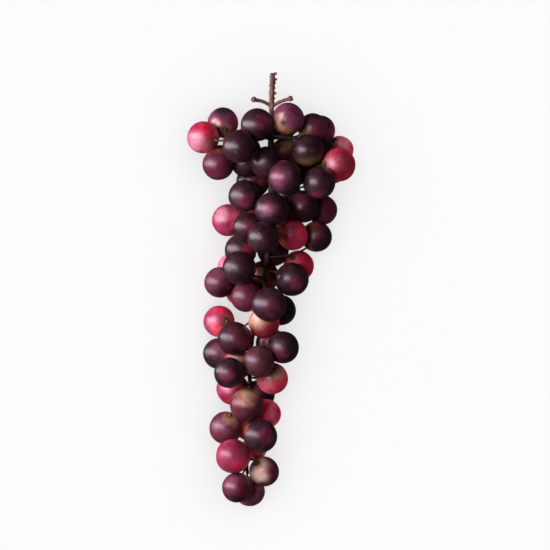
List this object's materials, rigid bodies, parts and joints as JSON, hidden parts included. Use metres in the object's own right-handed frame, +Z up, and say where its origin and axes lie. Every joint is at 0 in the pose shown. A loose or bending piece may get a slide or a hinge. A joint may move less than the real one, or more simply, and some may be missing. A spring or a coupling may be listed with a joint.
{
  "type": "bunch of grapes",
  "caption": "Ripe bunch of round dark red and purple table grapes on its brown woody stem, laid down on a flat surface.",
  "frame": {"origin": "on the surface, under the middle of the bunch", "axes": "+Y along the bunch towards the cut end of its stem, +Z up from the surface it lies on"},
  "size_m": [0.1108, 0.2886, 0.0635],
  "materials": {
    "skin": "waxy skin with bloom, dark purple to crimson",
    "stem_bark": "dry dark reddish brown bark"
  },
  "bodies": {
    "root": {"berries": "skin", "stem": "stem_bark"}
  },
  "joints": []
}
